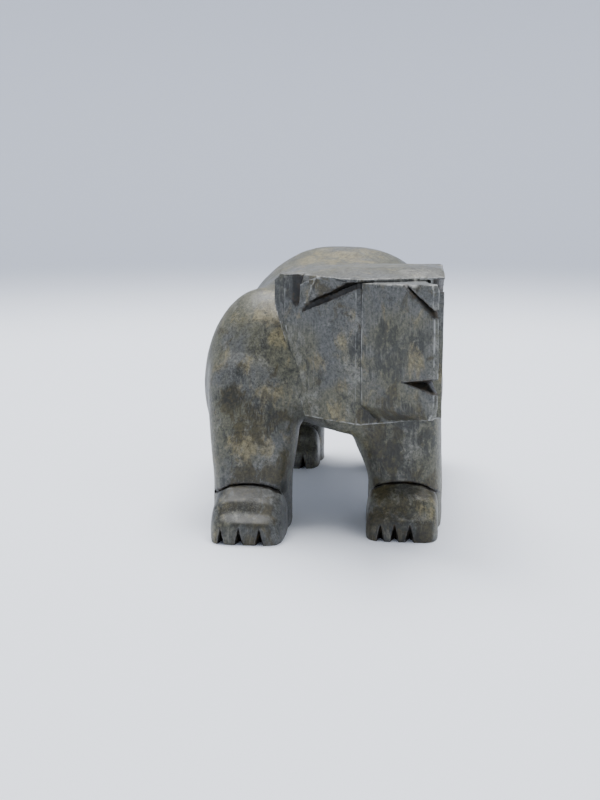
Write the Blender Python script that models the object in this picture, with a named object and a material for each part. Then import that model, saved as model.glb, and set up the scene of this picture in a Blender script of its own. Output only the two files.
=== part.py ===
"""Carved soapstone bear, standing on four legs with its head turned to its left.

One piece of stone. The bear faces -Y, its left side is +X and its soles lie on z = 0. The body is a set of
rounded masses blended into one skin. The head, the feet and the file cuts are flat-sided, so they are joined
and cut afterwards and keep their edges.
"""

import math

import bmesh
import bpy
from mathutils import Matrix, Vector

# Overall size. Every other size is a share of the height: MM is a millimetre on a bear 101.5 mm tall.
HEIGHT = 0.1015
MM = HEIGHT / 101.5

# Body, measured from the origin under its middle.
CHEST_Y = -41 * MM
RUMP_Y = 80 * MM
GIRTH_Z = 53 * MM
FLANK = 45 * MM
WAIST_INSET = 3 * MM
CHEST_BLUNTNESS = 2.35
RUMP_BLUNTNESS = 2.45
BACK_ROUNDNESS = {-1: 2.08, 1: 2.75}
BELLY_ROUNDNESS = 2.8
BACK_LINE = [
    (CHEST_Y, 97 * MM),
    (-12 * MM, 98.5 * MM),
    (10 * MM, 96.5 * MM),
    (44 * MM, HEIGHT + 2.1 * MM),
    (RUMP_Y, 96 * MM),
]
BELLY_Z = 35.5 * MM
SECTION_COUNT = 26
SECTION_POINTS = 48

# Shoulders and haunches: (centre x, y, z) and (half width, half depth, half height), leaning with the leg.
SHOULDER = ((22 * MM, -19 * MM, 51.5 * MM), (24.6 * MM, 21 * MM, 37.5 * MM))
HAUNCH = ((24 * MM, 48 * MM, 51 * MM), (22 * MM, 26 * MM, 33 * MM))
SHOULDER_LEAN = math.radians(-8)
SHOULDER_OFFSET = -1.1 * MM
MUSCLE_INNER_SHARE = 0.5
MUSCLE_LOWER_SHARE = 0.86
HAUNCH_LEAN = math.radians(10)

# Legs and feet are made to reach this far under the floor, which then cuts their soles flat.
SINK = 4 * MM

# Legs. Each leg is (side, ankle centre x, ankle centre y, half width, half depth, foot front y, foot centre x).
ANKLE_Z = 19 * MM
LEG_TOP_Z = 62 * MM
FORELEG_TOP_Y = -24 * MM
HINDLEG_TOP_Y = 48 * MM
LEG_TOP_X = 26 * MM
FORELEG_TOP = (18.4 * MM, 16 * MM)
HINDLEG_TOP = (18 * MM, 22 * MM)
LEG_TAPER = 1.8
LEG_CAP = 9 * MM
LEGS = {
    "right_fore": (-1, 26.3 * MM, -34.5 * MM, 14.9 * MM, 14.5 * MM, -63.5 * MM, 25.4 * MM),
    "left_fore": (1, 31.5 * MM, -26.5 * MM, 14.2 * MM, 14 * MM, -54 * MM, 30.9 * MM),
    "right_hind": (-1, 24.6 * MM, 69.5 * MM, 16.8 * MM, 11.4 * MM, 47.5 * MM, 22.6 * MM),
    "left_hind": (1, 28 * MM, 63.5 * MM, 14.2 * MM, 11.4 * MM, 41.5 * MM, 28 * MM),
}
FOOT_HALF_WIDTH = 12.9 * MM
ANKLE_FLARE = 0.6 * MM
HEEL_INSET = 2 * MM
TOE_HEIGHT = 8.6 * MM
INSTEP_Z = 18.5 * MM
FOOT_CORNER = 4.5 * MM
FOOT_BOXINESS = 4.6
CREASE_DEPTH = 2 * MM
TOE_CUT_WIDTH = 4 * MM
TOE_CUT_HEIGHT = 7.4 * MM
TOE_CUT_DEPTH = 5 * MM
TOE_CUTS = {
    "right_fore": (-0.68, -0.16, 0.42),
    "left_fore": (-0.60, -0.20, 0.23),
    "right_hind": (-0.52, 0.0, 0.52),
    "left_hind": (-0.52, 0.0, 0.52),
}
TAIL_Z = 82 * MM
TAIL_LENGTH = 9 * MM

# Blending of the rounded masses.
SKIN_VOXEL = 1.5 * MM
SKIN_SMOOTHING = 28
SKIN_TRIANGLES = 6400

# Head. Its own axes are u, out to either side, v, back from the nose, and z, up.
NOSE = Vector((41.2 * MM, -78.3 * MM, 0))
HEAD_TURN = math.radians(28)
SKULL_SHIFT = -4.2 * MM
BLOCK_SIDE_X = 44.5 * MM
RIDGE_HALF_WIDTH = 1.0 * MM
MUZZLE_LENGTH = 31 * MM
MUZZLE_ROOT_HALF_WIDTH = 11.9 * MM
MUZZLE_TOP = (95.4 * MM, 93.7 * MM)
MUZZLE_LOW = (52.9 * MM, 51.3 * MM)
CHIN_Z = (50.2 * MM, 43.9 * MM)
CHIN_BACK = 2.2 * MM
CHIN_HALF_WIDTH = 5 * MM
BROW_Z = 95.0 * MM
CROWN_Z = 98.2 * MM
LEFT_BROW_Z = 97.6 * MM
JAW_Z = 43.4 * MM
CHEEK_FRONT = (17.0 * MM, 32 * MM)
CHEEK_FACET = (19.3 * MM, 38.8 * MM)
CHEEK_REAR = (30.2 * MM, 58.5 * MM)
EAR_REAR = (35.2 * MM, 68 * MM)
JAW_REAR = (28.3 * MM, 55 * MM)
EAR_Z = (95.8 * MM, 79 * MM)
EAR_THICKNESS = 6 * MM
NAPE = (14 * MM, 78 * MM)

# File cuts.
CUT_REACH = 3 * MM
# Eye slit: (v, lower lip, upper lip) from its inner to its outer end.
EYE_SLIT = [
    (31.5 * MM, 92.6 * MM, 94.3 * MM),
    (38.0 * MM, 90.0 * MM, 93.6 * MM),
    (42.0 * MM, 88.2 * MM, 92.0 * MM),
    (49.2 * MM, 84.9 * MM, 88.7 * MM),
    (53.2 * MM, 83.0 * MM, 86.0 * MM),
    (55.0 * MM, 82.2 * MM, 83.2 * MM),
]
EYE_DEPTH = 5 * MM
LEFT_EYE_DROP = 2.6 * MM
# Facet over the slit: (v, z) of its outer, top and inner corners, and of the point where it is deepest.
LID_CORNERS = [(54.0 * MM, 84.8 * MM), (49.6 * MM, 95.8 * MM), (37.0 * MM, 94.2 * MM)]
LID_DEEPEST = (47.4 * MM, 89.6 * MM)
LID_DEPTH = 2.6 * MM
# Bevel of the brow in front of an ear: (v, z) of its ends on the cheek, and how far it runs in over the crown.
BEVEL_ENDS = [(49.0 * MM, 95.2 * MM), (58.4 * MM, 91.2 * MM)]
BEVEL_WIDTH = 4 * MM
NOSE_CUT_BACK = 15.2 * MM
NOSE_CUT_Z = 85.6 * MM
NOSE_CUT_WIDTH = 3.2 * MM
NOSE_CUT_DEPTH = 2.8 * MM
MOUTH_BACK = 12.6 * MM
MOUTH_Z = 63.6 * MM
MOUTH_HEIGHT = 5.4 * MM
MOUTH_RISE = 1.9 * MM
MOUTH_DEPTH = 3.2 * MM
EAR_CUT_BOTTOM = 83.8 * MM
EAR_CUT_WIDTH = 3.0 * MM
EAR_CUT_DEPTH = 2.6 * MM

STONE_COLOUR = (0.215, 0.222, 0.200, 1.0)
STONE_ROUGHNESS = 0.48

TINY = 0.002 * MM
FAR = 200 * MM


def clear_scene():
    for item in list(bpy.data.objects):
        bpy.data.objects.remove(item, do_unlink=True)


def stone_material():
    material = bpy.data.materials.new("soapstone")
    material.use_nodes = True
    shader = material.node_tree.nodes["Principled BSDF"]
    shader.inputs["Base Color"].default_value = STONE_COLOUR
    shader.inputs["Roughness"].default_value = STONE_ROUGHNESS
    shader.inputs["Metallic"].default_value = 0.0
    material.diffuse_color = STONE_COLOUR
    return material


def add_object(name, mesh_builder):
    """Link a new object whose mesh is the given bmesh, with all its faces turned outwards."""
    bmesh.ops.recalc_face_normals(mesh_builder, faces=mesh_builder.faces)
    mesh = bpy.data.meshes.new(name)
    mesh_builder.to_mesh(mesh)
    mesh_builder.free()
    item = bpy.data.objects.new(name, mesh)
    bpy.context.collection.objects.link(item)
    return item


def hull(name, points):
    """Smallest flat-sided block around the points."""
    builder = bmesh.new()
    corners = [builder.verts.new(point) for point in points]
    result = bmesh.ops.convex_hull(builder, input=corners)
    spare = {item for item in result["geom_interior"] + result["geom_unused"] if isinstance(item, bmesh.types.BMVert)}
    bmesh.ops.delete(builder, geom=list(spare), context="VERTS")
    return add_object(name, builder)


def loft(name, rings):
    """Closed skin over rings that all have the same number of points."""
    builder = bmesh.new()
    loops = [[builder.verts.new(point) for point in ring] for ring in rings]
    for near, far in zip(loops, loops[1:]):
        for index in range(len(near)):
            after = (index + 1) % len(near)
            builder.faces.new((near[index], near[after], far[after], far[index]))
    builder.faces.new(loops[0])
    builder.faces.new(loops[-1])
    return add_object(name, builder)


def bake(item):
    """Replace the object's mesh by the result of its modifiers."""
    graph = bpy.context.evaluated_depsgraph_get()
    shaped = bpy.data.meshes.new_from_object(item.evaluated_get(graph))
    spent = item.data
    item.modifiers.clear()
    item.data = shaped
    bpy.data.meshes.remove(spent)


def combine(item, tool, operation):
    """Join the tool to the object, or cut it away, and use the tool up."""
    modifier = item.modifiers.new(tool.name, "BOOLEAN")
    modifier.operation = operation
    modifier.solver = "EXACT"
    modifier.object = tool
    bake(item)
    bpy.data.objects.remove(tool, do_unlink=True)


def power(value, exponent):
    return math.copysign(abs(value) ** exponent, value)


def oval(centre, half_width, half_height, roundness):
    """Superellipse as (a, b) pairs: 2 is an ellipse, higher is squarer."""
    pairs = []
    for step in range(SECTION_POINTS):
        angle = 2 * math.pi * step / SECTION_POINTS
        a = centre[0] + half_width * power(math.cos(angle), 2 / roundness)
        b = centre[1] + half_height * power(math.sin(angle), 2 / roundness)
        pairs.append((a, b))
    return pairs


def along(line, position):
    """Height of a smooth line through (position, height) stations."""
    for (start, low), (end, high) in zip(line, line[1:]):
        if position <= end:
            share = max(0.0, (position - start) / (end - start))
            eased = share * share * (3 - 2 * share)
            return low + (high - low) * eased
    return line[-1][1]


def body_section(y):
    """Cross-section of the body at y: a tall dome over a flatter belly."""
    middle = (CHEST_Y + RUMP_Y) / 2
    reach = (RUMP_Y - CHEST_Y) / 2
    offset = (y - middle) / reach
    bluntness = CHEST_BLUNTNESS if offset < 0 else RUMP_BLUNTNESS
    fullness = max(0.0, 1 - abs(offset) ** bluntness) ** (1 / bluntness)
    fullness = max(fullness, 0.08)
    waist = WAIST_INSET * math.cos(offset * math.pi / 2) ** 4
    half_width = (FLANK + 1.2 * MM - waist) * fullness
    rise = (along(BACK_LINE, y) - GIRTH_Z) * fullness
    drop = (GIRTH_Z - BELLY_Z) * fullness
    points = []
    uppers = {side: oval((0, 0), half_width, rise, BACK_ROUNDNESS[side]) for side in (-1, 1)}
    lower = oval((0, 0), half_width, drop, BELLY_ROUNDNESS)
    for right, left, low in zip(uppers[-1], uppers[1], lower):
        x, z = low if low[1] < 0 else left if low[0] > 0 else right
        points.append((x, y, GIRTH_Z + z))
    return points


def make_body():
    """Barrel of the body, from the chest to the rump."""
    rings = []
    for index in range(SECTION_COUNT):
        turn = math.pi * index / (SECTION_COUNT - 1)
        share = (1 - math.cos(turn)) / 2
        rings.append(body_section(CHEST_Y + (RUMP_Y - CHEST_Y) * share))
    return loft("body", rings)


def leg_ring(centre_x, centre_y, z, half_width, half_depth, roundness):
    return [(x, y, z) for x, y in oval((centre_x, centre_y), half_width, half_depth, roundness)]


def make_leg(name):
    """One leg, from inside the body down past the floor, which is cut flat later."""
    side, ankle_x, ankle_y, half_width, half_depth, _, _ = LEGS[name]
    fore = name.endswith("fore")
    top_y = FORELEG_TOP_Y if fore else HINDLEG_TOP_Y
    top_width, top_depth = FORELEG_TOP if fore else HINDLEG_TOP
    cap = leg_ring(side * LEG_TOP_X, top_y, LEG_TOP_Z + LEG_CAP, 0.5 * top_width, 0.5 * top_depth, 2.2)
    rings = [cap]
    for share in (0.0, 0.2, 0.4, 0.6, 0.8, 1.0):
        narrowed = share ** LEG_TAPER
        x = side * (LEG_TOP_X + (ankle_x - LEG_TOP_X) * narrowed)
        y = top_y + (ankle_y - top_y) * share ** 0.8
        z = LEG_TOP_Z + (ANKLE_Z - LEG_TOP_Z) * share
        width = top_width + (half_width - top_width) * narrowed
        depth = top_depth + (half_depth - top_depth) * narrowed
        rings.append(leg_ring(x, y, z, width, depth, 2.6))
    rings.append(leg_ring(side * ankle_x, ankle_y, -SINK, half_width, half_depth, 2.8))
    return loft(name, rings)


def make_muscle(name, placing, lean, side, offset=0.0):
    """Egg-shaped shoulder or haunch, flatter on its inner side and below."""
    (x, y, z), radii = placing
    builder = bmesh.new()
    bmesh.ops.create_uvsphere(builder, u_segments=32, v_segments=20, radius=1)
    for vertex in builder.verts:
        swollen = Vector(a * b for a, b in zip(vertex.co, radii))
        if swollen.x * side < 0:
            swollen.x *= MUSCLE_INNER_SHARE
        if swollen.z < 0:
            swollen.z *= MUSCLE_LOWER_SHARE
        turned = Matrix.Rotation(lean, 3, "X") @ swollen
        vertex.co = turned + Vector((side * x + offset, y, z))
    return add_object(name, builder)


def make_neck():
    """Short neck that carries the turned head."""
    rings = []
    for share in (0.0, 0.35, 0.7, 1.0):
        x = (1 + 13 * share) * MM
        y = (-6 - 32 * share) * MM
        low = (33 + 2.5 * share) * MM
        high = (96 - 2 * share) * MM
        half_width = (35 - 15 * share) * MM
        pairs = oval((x, (low + high) / 2), half_width, (high - low) / 2, 2.4)
        rings.append([(a, y, b) for a, b in pairs])
    return loft("neck", rings)


def make_tail():
    """Stub of a tail, lying on the rump."""
    builder = bmesh.new()
    bmesh.ops.create_uvsphere(builder, u_segments=16, v_segments=10, radius=1)
    middle = Vector((0, RUMP_Y - 5.5 * MM, TAIL_Z - 4 * MM))
    for vertex in builder.verts:
        x, y, z = vertex.co
        vertex.co = middle + Vector((x * 5 * MM, y * 5.5 * MM - z * 1.8 * MM, z * TAIL_LENGTH))
    return add_object("tail", builder)


def blend(bear):
    """Turn the joined masses into one smooth skin of few triangles."""
    skin = bear.modifiers.new("skin", "REMESH")
    skin.mode = "VOXEL"
    skin.voxel_size = SKIN_VOXEL
    smooth = bear.modifiers.new("smooth", "SMOOTH")
    smooth.factor = 0.5
    smooth.iterations = SKIN_SMOOTHING
    bake(bear)
    triangles = sum(len(polygon.vertices) - 2 for polygon in bear.data.polygons)
    thin = bear.modifiers.new("thin", "DECIMATE")
    thin.ratio = min(1.0, SKIN_TRIANGLES / triangles)
    bake(bear)


def make_foot(name):
    """Foot: upright toe face, rounded instep rising to the ankle, sole flat on the floor."""
    side, _, ankle_y, _, half_depth, front, centre_x = LEGS[name]
    ankle = ankle_y - half_depth + 0.5 * MM
    heel = ankle_y + half_depth - HEEL_INSET
    wide = FOOT_HALF_WIDTH
    stations = [
        (front, wide - FOOT_CORNER, TOE_HEIGHT - 0.8 * MM),
        (front + 0.3 * FOOT_CORNER, wide - 0.3 * FOOT_CORNER, TOE_HEIGHT),
        (front + FOOT_CORNER, wide, TOE_HEIGHT + 1.8 * MM),
        ((front + ankle) / 2, wide + 0.5 * ANKLE_FLARE, (TOE_HEIGHT + INSTEP_Z) / 2 + 0.8 * MM),
        (ankle, wide + ANKLE_FLARE, INSTEP_Z),
        (ankle_y, wide, INSTEP_Z - 4 * MM),
        (heel - FOOT_CORNER, wide - 1.2 * MM, INSTEP_Z - 9 * MM),
        (heel, wide - FOOT_CORNER, INSTEP_Z - 11 * MM),
    ]
    rings = []
    for y, half_width, height in stations:
        ring = []
        for step in range(17):
            angle = math.pi * step / 16
            x = side * centre_x + half_width * power(math.cos(angle), 2 / FOOT_BOXINESS)
            ring.append((x, y, height * power(math.sin(angle), 2 / FOOT_BOXINESS)))
        ring.append((side * centre_x - half_width, y, -SINK))
        ring.append((side * centre_x + half_width, y, -SINK))
        rings.append(ring)
    return loft("foot_" + name, rings)


def crease_cutter(name):
    """Groove over the instep, where the foot meets the leg."""
    side, _, ankle_y, _, half_depth, _, centre_x = LEGS[name]
    face = ankle_y - half_depth
    points = []
    for share, lift in ((-1.15, -5.5), (-0.6, -0.8), (0.0, 0.0), (0.6, -0.8), (1.15, -5.5)):
        x = side * centre_x + share * FOOT_HALF_WIDTH
        z = INSTEP_Z + 0.8 * MM + lift * MM
        depth = CREASE_DEPTH * (1 - 0.35 * abs(share))
        setback = 5 * MM * share ** 4
        points.append([(x, face - 3 * MM + setback, z + 2.2 * MM), (x, face - 3 * MM + setback, z - 0.6 * MM),
                       (x, face + depth + setback, z - 1.2 * MM)])
    return loft("crease", points)


def cut_toes(bear, name):
    """Notches filed up the toe face."""
    side, _, _, _, _, front, centre_x = LEGS[name]
    for share in TOE_CUTS[name]:
        x = side * centre_x + share * FOOT_HALF_WIDTH
        half = TOE_CUT_WIDTH / 2
        low = -SINK - 1 * MM
        near = front - 2 * MM
        deep = front + TOE_CUT_DEPTH
        spread = half * (TOE_CUT_HEIGHT - low) / TOE_CUT_HEIGHT
        points = [(x - spread, near, low), (x + spread, near, low), (x, near, TOE_CUT_HEIGHT + 2 * MM),
                  (x - 0.4 * spread, deep, low), (x + 0.4 * spread, deep, low), (x, deep, 0.0)]
        combine(bear, hull("toe_cut", points), "DIFFERENCE")


def on_head(u, v, z, shift=0.0):
    """Point in the head's own axes: u to the bear's right, v back from the nose."""
    forward = Vector((math.sin(HEAD_TURN), -math.cos(HEAD_TURN), 0))
    right = Vector((-math.cos(HEAD_TURN), -math.sin(HEAD_TURN), 0))
    return NOSE + right * (u + shift) - forward * v + Vector((0, 0, z))


def on_skull(u, v, z):
    """The same, from the middle of the skull, which sits a little to the left of the muzzle."""
    return on_head(u, v, z, SKULL_SHIFT)


def mirrored(points, place):
    """Points of the head for both its sides."""
    return [place(way * u, v, z) for u, v, z in points for way in (-1, 1)]


def muzzle_half_width(v):
    return RIDGE_HALF_WIDTH + (MUZZLE_ROOT_HALF_WIDTH - RIDGE_HALF_WIDTH) * v / MUZZLE_LENGTH


def cheek_half_width(v):
    front, rear = CHEEK_FACET, CHEEK_REAR
    if v < CHEEK_FACET[1]:
        front, rear = CHEEK_FRONT, CHEEK_FACET
    return front[0] + (rear[0] - front[0]) * (v - front[1]) / (rear[1] - front[1])


def make_muzzle():
    """Wedge of the muzzle, with an upright nose ridge and a chamfer under the jaw."""
    root = MUZZLE_LENGTH + 3 * MM
    wide = muzzle_half_width(root)
    points = [
        (RIDGE_HALF_WIDTH * 0.8, 1.2 * MM, MUZZLE_TOP[0]),
        (RIDGE_HALF_WIDTH, 0, MUZZLE_TOP[0] - 2 * MM),
        (wide, root, MUZZLE_TOP[1]),
        (RIDGE_HALF_WIDTH, -1 * MM, MUZZLE_LOW[0] + 2 * MM),
        (RIDGE_HALF_WIDTH, 0, MUZZLE_LOW[0] - 1 * MM),
        (wide, root, MUZZLE_LOW[1]),
        (RIDGE_HALF_WIDTH, CHIN_BACK, CHIN_Z[0]),
        (CHIN_HALF_WIDTH, root, CHIN_Z[1]),
    ]
    return hull("muzzle", mirrored(points, on_head))


def make_skull():
    """Block of brow, crown and cheeks, cut back under the ears to the jaw. On the left its top stays level."""
    points = [
        (CHEEK_FRONT[0], CHEEK_FRONT[1], JAW_Z),
        (CHEEK_FACET[0], CHEEK_FACET[1], JAW_Z),
        (JAW_REAR[0], JAW_REAR[1], JAW_Z),
        (JAW_REAR[0] - 8 * MM, JAW_REAR[1] + 12 * MM, JAW_Z + 3 * MM),
        (CHEEK_FRONT[0], CHEEK_FRONT[1], BROW_Z),
        (CHEEK_FACET[0], CHEEK_FACET[1], BROW_Z),
        (CHEEK_REAR[0], CHEEK_REAR[1], BROW_Z),
        (CHEEK_REAR[0] + 3.2 * MM, CHEEK_REAR[1] + 4.5 * MM, EAR_Z[1]),
        (CHEEK_REAR[0] + 2.6 * MM, CHEEK_REAR[1] + 5 * MM, EAR_Z[0] - 1.2 * MM),
        (CHEEK_REAR[0] - 4 * MM, CHEEK_REAR[1] + 13 * MM, EAR_Z[0]),
        (NAPE[0], CHEEK_FACET[1] + 8 * MM, CROWN_Z),
        (NAPE[0], NAPE[1], CROWN_Z - 1.2 * MM),
        (NAPE[0], NAPE[1], 60 * MM),
    ]
    level = [on_skull(-u, v, LEFT_BROW_Z) for u, v in (CHEEK_FACET, CHEEK_REAR)]
    return hull("skull", mirrored(points, on_skull) + level)


def make_ear(way):
    """Block ear at the rear end of a cheek. It runs down into the cheek's rear edge."""
    rear_u, rear_v = EAR_REAR
    front_u, front_v = CHEEK_REAR
    top, bottom = EAR_Z
    points = [
        (front_u, front_v, top - 0.3 * MM),
        (front_u - EAR_THICKNESS, front_v + 2 * MM, top),
        (rear_u - 1.4 * MM, rear_v - 2 * MM, top - 0.5 * MM),
        (rear_u, rear_v, top - 3 * MM),
        (rear_u - EAR_THICKNESS, rear_v + 2.5 * MM, top - 0.3 * MM),
        (front_u, front_v, bottom),
        (rear_u, rear_v, bottom + 5 * MM),
        (rear_u - EAR_THICKNESS, rear_v + 2.5 * MM, bottom),
        (JAW_REAR[0] - 0.5 * MM, JAW_REAR[1] - 1 * MM, JAW_Z + 2 * MM),
        (JAW_REAR[0] - 5 * MM, JAW_REAR[1] + 1 * MM, JAW_Z + 2 * MM),
    ]
    return hull("ear", [on_skull(way * u, v, z) for u, v, z in points])


def lid_cutter(way):
    """Two facets over the eye slit, which meet in a ridge down to their deepest point."""
    v, z = LID_DEEPEST
    points = [on_skull(way * (cheek_half_width(v) - LID_DEPTH), v, z)]
    for v, z in LID_CORNERS:
        u = cheek_half_width(v)
        points.append(on_skull(way * u, v, z))
        points.append(on_skull(way * (u + CUT_REACH), v, z + 0.3 * CUT_REACH))
    return hull("lid_cut", points)


def bevel_cutter(way):
    """Slope from the crown down to the ear groove."""
    (front_v, front_z), (rear_v, rear_z) = BEVEL_ENDS
    front, rear = cheek_half_width(front_v), cheek_half_width(rear_v)
    points = [
        on_skull(way * front, front_v, front_z),
        on_skull(way * rear, rear_v, rear_z),
        on_skull(way * (rear - BEVEL_WIDTH), rear_v, CROWN_Z),
        on_skull(way * (front - 0.2 * BEVEL_WIDTH), front_v, CROWN_Z),
        on_skull(way * (rear + CUT_REACH), rear_v, rear_z),
        on_skull(way * (rear + CUT_REACH), rear_v, CROWN_Z + CUT_REACH),
        on_skull(way * (rear - BEVEL_WIDTH), rear_v, CROWN_Z + CUT_REACH),
        on_skull(way * (front + CUT_REACH), front_v, CROWN_Z + CUT_REACH),
    ]
    return hull("bevel_cut", points)


def eye_cutter(way):
    """Deep slit, pointed at its outer end. The left one starts lower at its inner end."""
    start, end = EYE_SLIT[0][0], EYE_SLIT[-1][0]
    points = []
    for v, low, high in EYE_SLIT:
        if way < 0:
            low -= LEFT_EYE_DROP * (end - v) / (end - start)
        u = cheek_half_width(v)
        for reach in (-EYE_DEPTH * min(1, 4 * (end - v) / (end - start)), CUT_REACH):
            points.append(on_skull(way * (u + reach), v, low))
            points.append(on_skull(way * (u + reach), v, high))
    return hull("eye_cut", points)


def nose_cutter(way):
    """Slanting groove that sets the nose off from the muzzle, deepest at the ridge."""
    points = []
    for v, z, scale in ((NOSE_CUT_BACK, MUZZLE_TOP[0] + 1 * MM, 0.45), (-2 * MM, NOSE_CUT_Z - 1.2 * MM, 1.0)):
        half = NOSE_CUT_WIDTH * scale / 2
        u = muzzle_half_width(v)
        points.append(on_head(way * (u - NOSE_CUT_DEPTH * scale), v, z))
        for step in (-1, 1):
            points.append(on_head(way * (u + CUT_REACH), v + step * half * 2, z + step * half * 3))
    return hull("nose_cut", points)


def mouth_cutter(way):
    """Wedge cut, open at the ridge and closed at its rear end."""
    back = muzzle_half_width(MOUTH_BACK)
    reach = back + CUT_REACH
    points = [
        on_head(way * (back + 0.3 * MM), MOUTH_BACK, MOUTH_Z - MOUTH_RISE),
        on_head(way * (muzzle_half_width(MOUTH_BACK / 2) - MOUTH_DEPTH), MOUTH_BACK / 2, MOUTH_Z - 1.2 * MM),
        on_head(-way * 0.4 * MM, 2.2 * MM, MOUTH_Z - 0.8 * MM),
        on_head(-way * 0.4 * MM, -3 * MM, MOUTH_Z + 1.2 * MM),
        on_head(-way * 0.4 * MM, -3 * MM, MOUTH_Z + 1.2 * MM - MOUTH_HEIGHT),
        on_head(way * reach, 4 * MM, MOUTH_Z + 0.6 * MM),
        on_head(way * reach, 4 * MM, MOUTH_Z + 1.2 * MM - MOUTH_HEIGHT),
        on_head(way * reach, MOUTH_BACK - 1 * MM, MOUTH_Z - MOUTH_RISE),
    ]
    return hull("mouth_cut", points)


def ear_cutter(way):
    """Upright groove in front of an ear."""
    v = CHEEK_REAR[1] - 0.8 * MM
    u = cheek_half_width(v)
    half = EAR_CUT_WIDTH / 2
    top = CROWN_Z + 2 * MM
    stretch = (EAR_CUT_DEPTH + CUT_REACH) / EAR_CUT_DEPTH
    points = []
    for z, scale in ((top, 1.0), (EAR_CUT_BOTTOM + 1.5 * MM, 0.8)):
        points.append(on_skull(way * (u - EAR_CUT_DEPTH * scale), v, z))
        for step in (-1, 1):
            points.append(on_skull(way * (u + CUT_REACH), v + step * half * stretch * scale, z))
    points.append(on_skull(way * u, v, EAR_CUT_BOTTOM))
    points.append(on_skull(way * (u + CUT_REACH), v, EAR_CUT_BOTTOM))
    return hull("ear_cut", points)


def head_cutters(way):
    """Every stroke on one side of the head. The left side is sawn flat, so its brow carries no facets."""
    makers = [eye_cutter, nose_cutter, mouth_cutter, ear_cutter]
    if way > 0:
        makers = [bevel_cutter, lid_cutter] + makers
    return [maker(way) for maker in makers]


def slab(name, low, high):
    """Plain box between two corners."""
    corners = [(x, y, z) for x in (low[0], high[0]) for y in (low[1], high[1]) for z in (low[2], high[2])]
    return hull(name, corners)


def settle(item):
    """Drop collapsed edges, triangulate, and centre the piece over the origin."""
    builder = bmesh.new()
    builder.from_mesh(item.data)
    bmesh.ops.remove_doubles(builder, verts=builder.verts, dist=TINY)
    bmesh.ops.dissolve_degenerate(builder, edges=builder.edges, dist=TINY)
    bmesh.ops.triangulate(builder, faces=builder.faces)
    xs = [vertex.co.x for vertex in builder.verts]
    ys = [vertex.co.y for vertex in builder.verts]
    middle = Vector(((min(xs) + max(xs)) / 2, (min(ys) + max(ys)) / 2, 0))
    for vertex in builder.verts:
        vertex.co -= middle
    builder.to_mesh(item.data)
    builder.free()


def make_bear():
    bear = make_body()
    for name in LEGS:
        combine(bear, make_leg(name), "UNION")
    for side in (-1, 1):
        combine(bear, make_muscle("shoulder", SHOULDER, SHOULDER_LEAN, side, SHOULDER_OFFSET), "UNION")
        combine(bear, make_muscle("haunch", HAUNCH, HAUNCH_LEAN, side), "UNION")
    combine(bear, make_neck(), "UNION")
    combine(bear, make_tail(), "UNION")
    blend(bear)

    for name in LEGS:
        combine(bear, make_foot(name), "UNION")
        if name.endswith("fore"):
            combine(bear, crease_cutter(name), "DIFFERENCE")
        cut_toes(bear, name)
    combine(bear, slab("floor", (-FAR, -FAR, -FAR), (FAR, FAR, 0)), "DIFFERENCE")

    head = make_skull()
    combine(head, make_muzzle(), "UNION")
    for way in (1, -1):
        combine(head, make_ear(way), "UNION")
    combine(head, slab("side", (BLOCK_SIDE_X, -FAR, -FAR), (FAR, FAR, FAR)), "DIFFERENCE")
    combine(bear, head, "UNION")
    for way in (1, -1):
        for cutter in head_cutters(way):
            combine(bear, cutter, "DIFFERENCE")
    settle(bear)
    bear.name = "bear_carving"
    bear.data.name = "bear_carving"
    bear.data.materials.clear()
    bear.data.materials.append(stone_material())
    return bear


clear_scene()
make_bear()
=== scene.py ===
"""Looks of the carved soapstone bear: its dense stone mesh, the stone's finish, and a pale studio.

The bear faces -Y, its left side is +X and its soles lie on z = 0. MM is a millimetre on a bear as tall as
the CAD one. The carving is made as the solid was: rounded masses blended into one skin, then flat-sided
head and file cuts. Here the skin is denser, the planes carry the marks of the rasp, and the edges are worn.
"""

import math

import bmesh
import bpy
from mathutils import Matrix, Vector, noise
from mathutils.bvhtree import BVHTree


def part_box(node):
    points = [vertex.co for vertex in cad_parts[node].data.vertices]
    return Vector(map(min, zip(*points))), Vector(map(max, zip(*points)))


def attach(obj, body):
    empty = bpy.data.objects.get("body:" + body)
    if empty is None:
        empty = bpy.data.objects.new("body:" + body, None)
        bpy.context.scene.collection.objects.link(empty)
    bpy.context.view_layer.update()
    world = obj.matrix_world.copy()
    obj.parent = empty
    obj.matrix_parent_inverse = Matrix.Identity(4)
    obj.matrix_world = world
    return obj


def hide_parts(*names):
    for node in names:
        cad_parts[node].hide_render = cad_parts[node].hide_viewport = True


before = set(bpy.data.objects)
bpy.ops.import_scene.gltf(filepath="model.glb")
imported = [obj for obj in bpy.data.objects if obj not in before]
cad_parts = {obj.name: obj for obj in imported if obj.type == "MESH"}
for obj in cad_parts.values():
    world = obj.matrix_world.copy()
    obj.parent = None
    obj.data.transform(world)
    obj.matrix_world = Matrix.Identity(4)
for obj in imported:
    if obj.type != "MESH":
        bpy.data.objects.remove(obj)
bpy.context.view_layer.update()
LOW, HIGH = (Vector(corner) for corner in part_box("bear_carving"))

# The finished solid is 101.471 MM tall. CREST_Z is the height that its back line is drawn from.
HEIGHT = HIGH.z - LOW.z
MM = HEIGHT / 101.471
CREST_Z = 101.5 * MM

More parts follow.
